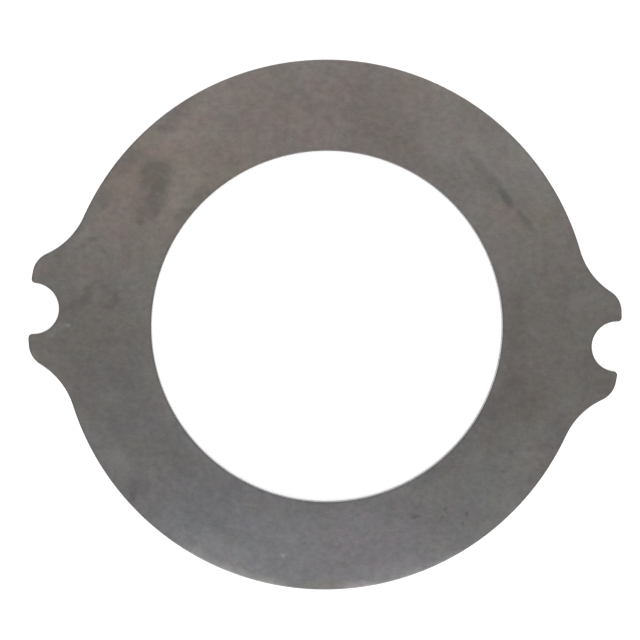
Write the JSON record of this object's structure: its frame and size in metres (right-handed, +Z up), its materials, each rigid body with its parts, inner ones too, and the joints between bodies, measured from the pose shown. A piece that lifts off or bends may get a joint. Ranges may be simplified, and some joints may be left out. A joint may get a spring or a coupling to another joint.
{
  "type": "spacer washer",
  "caption": "Flat steel ring with a wide round opening and a lug on either side, each with a round notch in its end that slides along a fixed pin and keeps the ring from turning.",
  "frame": {"origin": "centre of the round opening, at the underside", "axes": "+Z up through the plate to the side with the rolled edges, +X through the middle of one lug"},
  "size_m": [0.223, 0.2, 0.003],
  "materials": {
    "rolled_steel": "satin, as rolled, with an oil film"
  },
  "bodies": {
    "root": {"spacer_washer": "rolled_steel"}
  },
  "joints": []
}
